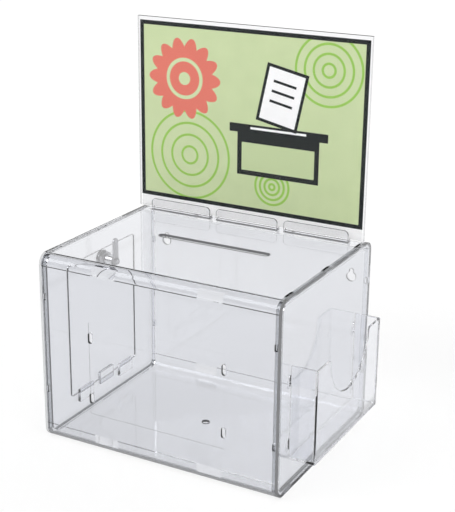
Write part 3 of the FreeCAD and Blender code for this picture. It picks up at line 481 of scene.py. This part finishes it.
def moulded(node, plastic, radius, edge=edge_painted_shade, cuts=()):
    """The copy with rounded edges, which rides where the CAD node did."""
    piece = loose_copy(node, cuts)
    piece.data.materials.clear()
    piece.data.materials.append(plastic)
    piece.data.materials.append(edge)
    bevel = piece.modifiers.new("edge_radius", "BEVEL")
    bevel.width = radius
    bevel.segments = 2
    bevel.limit_method = "ANGLE"
    bevel.angle_limit = SHARP
    bevel.use_clamp_overlap = True
    # The bevel faces take the second material, a dark edge tint that is painted shade.
    bevel.material = 1
    bpy.ops.object.modifier_apply(modifier=bevel.name)
    bpy.ops.object.shade_smooth_by_angle(angle=math.radians(30))
    even = piece.modifiers.new("flat_faces_stay_flat", "WEIGHTED_NORMAL")
    even.mode = "FACE_AREA"
    even.weight = 100
    even.keep_sharp = True
    bpy.ops.object.modifier_apply(modifier=even.name)
    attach(piece, frame["nodes"][node]["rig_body"])
    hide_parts(node)
    print(f"{piece.name}: {len(piece.data.polygons)} faces")
    return piece


def finish_faces(piece, material, chosen):
    """Gives a material to the faces whose middle, in millimetres, and normal pass a test."""
    index = len(piece.data.materials)
    piece.data.materials.append(material)
    count = 0
    for face in piece.data.polygons:
        if chosen(face.center / MM, face.normal):
            face.material_index = index
            count += 1
    print(f"  {count} faces of {piece.name} in {material.name}")


# %% [markdown]
# The lid and the base tray are sheets rolled over at the front and back. Their four tongues lap behind
# the panels, where plastic touches plastic, so they hardly show: they get a nearly clear tint. The slot
# in the lid gets the milled finish with its grey painted shade, and near-black painted shade on its front
# wall. The front seam of the lid and a round hole in the tray are painted near black as lines of shade, and
# the lower front bend of the tray darkens towards the floor, as painted shade at its foot.

# %% Mould the lid and the base tray
EDGE = 0.5 * MM
TONGUE_MIDDLE, TONGUE_HALF, TONGUE_BACK, TONGUE_OVERLAP = 63, 14.6, 108.2, 5.8
LID_TALL, LID_SKIRT = 213, 12.6
BASE_SKIRT = 17.5
SEAM_REACH = 0.7
TONGUE_SIDES = [side * TONGUE_MIDDLE + end * TONGUE_HALF for side in (-1, 1) for end in (-1, 1)]
seam_high, seam_low = LID_TALL - LID_SKIRT, BASE_SKIRT


def on_tongue(middle, seam):
    """The tongues, and the stretch of the seam in front of each."""
    beside = abs(abs(middle.x) - TONGUE_MIDDLE) < TONGUE_HALF
    at_seam = abs(middle.z - seam) < SEAM_REACH
    behind = abs(middle.y) < TONGUE_BACK and 104 < abs(middle.y)
    return beside and (at_seam or (behind and abs(middle.z - seam) < 9))


def at_seam(middle, normal, seam):
    return abs(middle.z - seam) < SEAM_REACH and abs(normal.z) > 0.3


SLOT_HALF, SLOT_BACK, SLOT_HALF_WIDE, LID_THICK = 69.1, 9.9, 5.1, 3.5
lid = moulded("lid", lid_plastic, EDGE, end_edge_painted_shade, cuts=TONGUE_SIDES)
finish_faces(lid, frosted_painted_shade, lambda m, n: abs(m.x) < SLOT_HALF and abs(m.y - SLOT_BACK) < SLOT_HALF_WIDE
             and abs(n.z) < 0.97 and m.z > LID_TALL - LID_THICK)
finish_faces(lid, dark_painted_shade, lambda m, n: abs(m.x) < SLOT_HALF and SLOT_BACK - SLOT_HALF_WIDE < m.y < SLOT_BACK
             and 0.2 < n.y and m.z > LID_TALL - LID_THICK)
finish_faces(lid, panel_plastic, lambda m, n: abs(m.y) > 99.2 and m.z > seam_high + 0.8)
finish_faces(lid, dark_painted_shade, lambda m, n: at_seam(m, n, seam_high) and m.y < 0)
finish_faces(lid, tongue_plastic, lambda m, n: on_tongue(m, seam_high))
base_tray = moulded("base_tray", panel_plastic, EDGE, cuts=TONGUE_SIDES)
finish_faces(base_tray, bend_with_painted_foot_shade, lambda m, n: m.y < -99.2 and m.z < 12 and n.y < 0)
finish_faces(base_tray, dark_painted_shade, lambda m, n: math.hypot(m.x + 4, m.y - 3.5) < 4.8 and abs(n.z) < 0.5)
finish_faces(base_tray, tongue_plastic, lambda m, n: on_tongue(m, seam_low))

# %% [markdown]
# The four walls of the box are flat plates. Light runs inside a plate and comes out at its cut edges, so
# these look like dark bands, which are painted near black or grey as painted shade: the front edge of the
# right end, the rims inside both ends, the upright sides of the door and its opening, the walls of the small
# slots and of two holes in the back, and the seam along the front panel. The front edge of the left end
# faces the light and is painted pale as painted light, with grey painted shade on its faces that turn to the
# left; the right end's front edge is grey painted shade, with painted light on its faces that turn right.

# %% Mould the panels and the door
FRONT_FACE, END_INSIDE, SLOT_AT = -111, 139.3, 80
front_panel = moulded("front_panel", panel_plastic, EDGE, cuts=TONGUE_SIDES)
back_panel = moulded("back_panel", panel_plastic, EDGE, cuts=TONGUE_SIDES)
finish_faces(front_panel, dark_painted_shade, lambda m, n: abs(abs(m.x) - SLOT_AT) < 3 and n.x > 0.5)
finish_faces(back_panel, frosted_painted_shade, lambda m, n: 110 < abs(m.x) < 128 and 155 < m.z < 180 and abs(n.y) < 0.5)
finish_faces(front_panel, dark_painted_shade, lambda m, n: at_seam(m, n, seam_high))
for panel in (front_panel, back_panel):
    finish_faces(panel, tongue_plastic, lambda m, n: on_tongue(m, seam_high) or on_tongue(m, seam_low))
left_end = moulded("left_end_panel", panel_plastic, EDGE, end_edge_painted_shade)
right_end = moulded("right_end_panel", panel_plastic, EDGE, end_edge_painted_shade)
for panel in (left_end, right_end):
    finish_faces(panel, rim_painted_shade, lambda m, n: abs(m.x) < END_INSIDE
                 and (m.y < -100 or m.z > 203 or m.z < 10))
    finish_faces(panel, panel_plastic, lambda m, n: abs(m.x) < END_INSIDE and m.y < -100 and n.y < -0.2)
finish_faces(left_end, frosted_painted_shade, lambda m, n: abs(m.x) < END_INSIDE and m.y < -100 and n.x > 0.3 and n.y < 0.9)
finish_faces(left_end, pale_painted_light, lambda m, n: m.x < -END_INSIDE and m.y < -98 and n.y < -0.2)
finish_faces(left_end, frosted_painted_shade, lambda m, n: m.x < -END_INSIDE and m.y < -98 and n.y < -0.2 and n.x < -0.3)
finish_faces(right_end, frosted_painted_shade, lambda m, n: m.x > END_INSIDE and m.y < -98 and n.y < -0.2)
finish_faces(right_end, pale_painted_light, lambda m, n: m.x > END_INSIDE and m.y < -98 and n.y < -0.2 and n.x > 0.3)
DOOR_SIDES = (-63, 68)
door = moulded("door", panel_plastic, EDGE)
for panel in (door, left_end):
    finish_faces(panel, dark_painted_shade, lambda m, n: abs(n.y) > 0.9 and 30 < m.z < 184
                 and min(abs(m.y - side) for side in DOOR_SIDES) < 0.8)

# %% [markdown]
# The header clips, the pocket and the sleeve are lighter pieces with finer edges. The sleeve is a single
# thin sheet, folded at its foot, so it gets the smallest radius of all. The foot of each clip is glued to
# the lid; its underside is painted grey as shade, which shows through the clip's front wall as a dark line,
# and the top and ends of the front wall get the near-black edge tint, painted shade. The top edge of the
# sleeve is painted near black as a line of shade.

# %% Mould the clips, the pocket and the sleeve
CLIP_FRONT = 87
for node in ("header_clip_left", "header_clip_centre", "header_clip_right"):
    clip = moulded(node, clip_plastic, 0.3 * MM)
    finish_faces(clip, edge_painted_shade, lambda m, n: m.y < CLIP_FRONT and abs(n.y) < 0.3 and m.z > LID_TALL + 0.5)
    finish_faces(clip, frosted_painted_shade, lambda m, n: n.z < -0.9 and m.z < LID_TALL + 0.5)
POCKET_EDGE = 1.1 * MM
# The pocket's rounded edges wear the grey film of painted shade.
moulded("brochure_pocket", pocket_plastic, POCKET_EDGE, pocket_edge_painted_shade)
SLEEVE_TOP = 438
sleeve = moulded("sign_sleeve", sheet_plastic, 0.15 * MM)
finish_faces(sleeve, dark_painted_shade, lambda m, n: m.z > SLEEVE_TOP - 1 and n.z > 0.3)

# %% [markdown]
# The lock is a real cam lock: a bright plated housing and plug, zinc-plated washers, nut, cam and screw,
# brass wafers and steel springs. All are Principled metals; what sets them apart is their colour, how
# dull they are and how plain their brushed lines show.

# %% Metals of the lock
def metal(name, colour, lines, polish, dullness, depth):
    """A brushed or plated metal. Depth is how plain its fine lines show."""
    material, tree = empty_material(name)
    shader = add_node(tree, "ShaderNodeBsdfPrincipled", metallic=1.0)
    place = add_node(tree, "ShaderNodeTexCoord")
    stain = add_node(tree, "ShaderNodeTexNoise", scale=90.0, detail=3.0)
    wire(tree, place.outputs["Object"], stain.inputs["Vector"])
    darker = tuple(c * 0.8 for c in colour)
    wire(tree, mix_colours(tree, stain.outputs[0], darker, colour), shader.inputs["Base Color"])
    marks = use_group(tree, brushed_marks, lines=lines, polish=polish, dullness=dullness)
    wire(tree, marks.outputs["Roughness"], shader.inputs["Roughness"])
    bump = add_node(tree, "ShaderNodeBump", strength=depth, distance=0.0002)
    wire(tree, marks.outputs["Height"], bump.inputs["Height"])
    wire(tree, bump.outputs[0], shader.inputs["Normal"])
    surface(tree, shader.outputs[0])
    return material


metals = {
    "lock_chrome": metal("bright_plate", (0.70, 0.70, 0.72), 1500, 0.06, 0.12, 0.05),
    "lock_steel": metal("zinc_plate", (0.42, 0.42, 0.44), 1100, 0.22, 0.25, 0.3),
    "lock_brass": metal("stamped_brass", (0.72, 0.52, 0.24), 900, 0.20, 0.25, 0.3),
    "spring_steel": metal("spring_wire", (0.45, 0.45, 0.48), 1400, 0.20, 0.2, 0.3),
}
LOCK_FINISH = {
    "lock_chrome": ("lock_housing", "lock_plug"),
    "lock_steel": ("lock_spur_washer", "lock_nut", "lock_stop_washer", "lock_cam", "lock_tooth_washer",
                   "lock_cam_screw"),
    "lock_brass": ("lock_wafers",),
    "spring_steel": ("lock_wafer_springs",),
}
for finish, nodes in LOCK_FINISH.items():
    for node in nodes:
        materials = frame["nodes"][node].data.materials
        for index in range(len(materials)):
            materials[index] = metals[finish]
print("lock metals on", sum(len(nodes) for nodes in LOCK_FINISH.values()), "nodes")

# %% [markdown]
# The printed card carries a plain design: a dark border, a pale green ground, rings, a coral blossom and
# a picture of a folded slip above a slotted box. An image would be the quick way, but shapes drawn by
# nodes stay sharp at any size. Every shape is a mask: one inside, zero outside. A disc, a bar and a
# blossom are enough for all of them, and each is a node group.

# %% Masks for printed shapes
PRINT_EDGE = 0.0003


def flat_place(group):
    """Across and up on the card."""
    place = add_node(group, "ShaderNodeTexCoord")
    split = add_node(group, "ShaderNodeSeparateXYZ")
    wire(group, place.outputs["Object"], split.inputs[0])
    return split.outputs["X"], split.outputs["Z"]


def from_middle(group, given):
    """Across and up from the shape's own middle."""
    across, up = flat_place(group)
    return (arithmetic(group, "SUBTRACT", across, given.outputs["Across"]),
            arithmetic(group, "SUBTRACT", up, given.outputs["Up"]))


MIDDLE = [("Across", "NodeSocketFloat", 0.0), ("Up", "NodeSocketFloat", 0.33)]
MASK = [("Mask", "NodeSocketFloat")]

ring_shape, given, gives = new_group(
    "ring_shape", MIDDLE + [("Inside", "NodeSocketFloat", 0.0), ("Outside", "NodeSocketFloat", 0.01)], MASK)
dx, dz = from_middle(ring_shape, given)
away = arithmetic(ring_shape, "POWER", arithmetic(
    ring_shape, "ADD", arithmetic(ring_shape, "MULTIPLY", dx, dx), arithmetic(ring_shape, "MULTIPLY", dz, dz)), 0.5)
past_inside = arithmetic(ring_shape, "DIVIDE", arithmetic(ring_shape, "SUBTRACT", away, given.outputs["Inside"]),
                         PRINT_EDGE, clamp=True)
before_outside = arithmetic(ring_shape, "DIVIDE", arithmetic(
    ring_shape, "SUBTRACT", given.outputs["Outside"], away), PRINT_EDGE, clamp=True)
wire(ring_shape, arithmetic(ring_shape, "MULTIPLY", past_inside, before_outside), gives.inputs["Mask"])

bar_shape, given, gives = new_group(
    "bar_shape", MIDDLE + [("Half wide", "NodeSocketFloat", 0.01), ("Half tall", "NodeSocketFloat", 0.01),
                           ("Lean", "NodeSocketFloat", 0.0)], MASK)
dx, dz = from_middle(bar_shape, given)
cosine = arithmetic(bar_shape, "COSINE", given.outputs["Lean"])
sine = arithmetic(bar_shape, "SINE", given.outputs["Lean"])
turned_x = arithmetic(bar_shape, "ADD", arithmetic(bar_shape, "MULTIPLY", dx, cosine),
                      arithmetic(bar_shape, "MULTIPLY", dz, sine))
turned_z = arithmetic(bar_shape, "SUBTRACT", arithmetic(bar_shape, "MULTIPLY", dz, cosine),
                      arithmetic(bar_shape, "MULTIPLY", dx, sine))
inside = []
for offset, half in ((turned_x, "Half wide"), (turned_z, "Half tall")):
    room_left = arithmetic(bar_shape, "SUBTRACT", given.outputs[half], arithmetic(bar_shape, "ABSOLUTE", offset))
    inside.append(arithmetic(bar_shape, "DIVIDE", room_left, PRINT_EDGE, clamp=True))
wire(bar_shape, arithmetic(bar_shape, "MULTIPLY", *inside), gives.inputs["Mask"])

petal_shape, given, gives = new_group(
    "petal_shape", MIDDLE + [("Reach", "NodeSocketFloat", 0.03), ("Depth", "NodeSocketFloat", 0.008),
                             ("Petals", "NodeSocketFloat", 12.0)], MASK)
dx, dz = from_middle(petal_shape, given)
away = arithmetic(petal_shape, "POWER", arithmetic(
    petal_shape, "ADD", arithmetic(petal_shape, "MULTIPLY", dx, dx), arithmetic(petal_shape, "MULTIPLY", dz, dz)), 0.5)
turn = arithmetic(petal_shape, "MULTIPLY", arithmetic(petal_shape, "ARCTAN2", dz, dx), given.outputs["Petals"])
wave = arithmetic(petal_shape, "ABSOLUTE", arithmetic(petal_shape, "COSINE", turn))
rim = arithmetic(petal_shape, "MULTIPLY_ADD", wave, given.outputs["Depth"], given.outputs["Reach"])
wire(petal_shape, arithmetic(petal_shape, "DIVIDE", arithmetic(petal_shape, "SUBTRACT", rim, away), PRINT_EDGE,
                             clamp=True), gives.inputs["Mask"])
print("print shapes:", ring_shape.name, bar_shape.name, petal_shape.name)

# %% [markdown]
# The colours are laid over each other from the ground up, as a printer lays inks. Paper takes ink a
# little unevenly, so a fine noise varies the ground, and the back of the card stays plain paper.

# %% Print the card
GREEN_GROUND = (0.555, 0.66, 0.37)
BRIGHT_GREEN = (0.32, 0.58, 0.11)
PALE_GREEN = (0.62, 0.72, 0.42)
CORAL = (0.76, 0.20, 0.15)
SLATE = (0.018, 0.022, 0.022)
PAPER = (0.97, 0.97, 0.97)
PRINT_MIDDLE_UP = 0.3318
PRINT_HALF_TALL = 0.1019
PRINT_HALF_WIDE = 0.1397
BORDER = 0.0047

card, tree = empty_material("printed_card")


def lay(ink, under, group, **numbers):
    """Prints one shape in one ink over what is there."""
    return mix_colours(tree, use_group(tree, group, **numbers).outputs["Mask"], under, ink)


fibre = add_node(tree, "ShaderNodeTexNoise", scale=60.0, detail=1.0)
place = add_node(tree, "ShaderNodeTexCoord")
wire(tree, place.outputs["Object"], fibre.inputs["Vector"])
ground = mix_colours(tree, fibre.outputs[0], GREEN_GROUND, PALE_GREEN)

picture = ground
for across, up, outer in ((-0.075, 0.285, 0.052), (0.094, 0.398, 0.040), (0.030, 0.262, 0.022)):
    for share in (1.0, 0.74, 0.48, 0.22):
        picture = lay(BRIGHT_GREEN, picture, ring_shape, across=across, up=up,
                      inside=outer * share - 0.0030, outside=outer * share)
BLOSSOM = dict(across=-0.082, up=0.372)
picture = lay(CORAL, picture, petal_shape, **BLOSSOM, reach=0.036, depth=0.010, petals=7.0)
picture = lay(PALE_GREEN, picture, ring_shape, **BLOSSOM, inside=0.019, outside=0.0235)
picture = lay(PALE_GREEN, picture, ring_shape, **BLOSSOM, inside=-1.0, outside=0.0075)
print("ground, rings and blossom")

# %% [markdown]
# The picture on the right of the card is a slip of paper that drops into a slotted box. Each outline is a
# dark bar with a smaller bar of another ink on top, because that needs no shape beyond the bar. The border
# comes last, so that it covers whatever runs past the ground.

# %% Print the slip, the box and the border
picture = lay(SLATE, picture, bar_shape, across=0.036, up=0.298, half_wide=0.050, half_tall=0.0265)
picture = lay(GREEN_GROUND, picture, bar_shape, across=0.036, up=0.293, half_wide=0.0445, half_tall=0.0160)
picture = lay(SLATE, picture, bar_shape, across=0.036, up=0.3245, half_wide=0.060, half_tall=0.0050)
picture = lay(PAPER, picture, bar_shape, across=0.036, up=0.3255, half_wide=0.034, half_tall=0.0014)
LEAN = math.radians(-12)
slip = dict(across=0.040, up=0.363, lean=LEAN)
picture = lay(SLATE, picture, bar_shape, **slip, half_wide=0.0255, half_tall=0.0330)
picture = lay(PAPER, picture, bar_shape, **slip, half_wide=0.0220, half_tall=0.0295)
for line_up in (0.378, 0.367, 0.356):
    picture = lay(SLATE, picture, bar_shape, across=0.040 + (line_up - 0.363) * 0.21, up=line_up,
                  half_wide=0.0140, half_tall=0.0016, lean=LEAN)
inner = use_group(tree, bar_shape, up=PRINT_MIDDLE_UP, half_wide=PRINT_HALF_WIDE - BORDER,
                  half_tall=PRINT_HALF_TALL - BORDER)
picture = mix_colours(tree, inner.outputs["Mask"], SLATE, picture)
inked = use_group(tree, bar_shape, up=PRINT_MIDDLE_UP, half_wide=PRINT_HALF_WIDE + 0.001,
                  half_tall=PRINT_HALF_TALL)
picture = mix_colours(tree, inked.outputs["Mask"], PAPER, picture)
print("slip, box and border")

# %% [markdown]
# The photo shows no green in the polished lid, although the card stands right behind it. The card is
# therefore shown as pale paper to rays that a polished surface has mirrored, and in its print to all others.

# %% Finish the card
HEADER_BACK = 0.089
split = add_node(tree, "ShaderNodeSeparateXYZ")
wire(tree, place.outputs["Object"], split.inputs[0])
behind = ramp(tree, split.outputs["Y"], HEADER_BACK, HEADER_BACK + 0.0001, 0.0, 1.0)
picture = mix_colours(tree, behind, picture, PAPER)
path = add_node(tree, "ShaderNodeLightPath")
mirrored = arithmetic(tree, "GREATER_THAN", path.outputs["Glossy Depth"], 0.5)
# What mirrored rays see of the card is a painted reflection: a pale grey tone in place of its print.
PAINTED_REFLECTION_TONE = (0.80, 0.81, 0.82)
picture = mix_colours(tree, mirrored, picture, PAINTED_REFLECTION_TONE)
shader = add_node(tree, "ShaderNodeBsdfPrincipled", specular_ior_level=0.1)
wire(tree, picture, shader.inputs["Base Color"])
wire(tree, ramp(tree, fibre.outputs[0], 0.3, 0.7, 0.42, 0.6), shader.inputs["Roughness"])
bump = add_node(tree, "ShaderNodeBump", strength=0.1, distance=0.0001)
wire(tree, fibre.outputs[0], bump.inputs["Height"])
wire(tree, bump.outputs[0], shader.inputs["Normal"])
surface(tree, shader.outputs[0])
materials = frame["nodes"]["sign_insert"].data.materials
for index in range(len(materials)):
    materials[index] = card
print("card printed")

# %% [markdown]
# The colours are written as they should look, so the view transform is Standard. Clear walls behind clear
# walls need many bounces, or the deepest of them turn black.

# %% Set the view transform and the bounces
scene = bpy.context.scene
scene.view_settings.view_transform = "Standard"
scene.cycles.max_bounces = 40
scene.cycles.transmission_bounces = 40
scene.cycles.glossy_bounces = 12
scene.cycles.transparent_max_bounces = 40
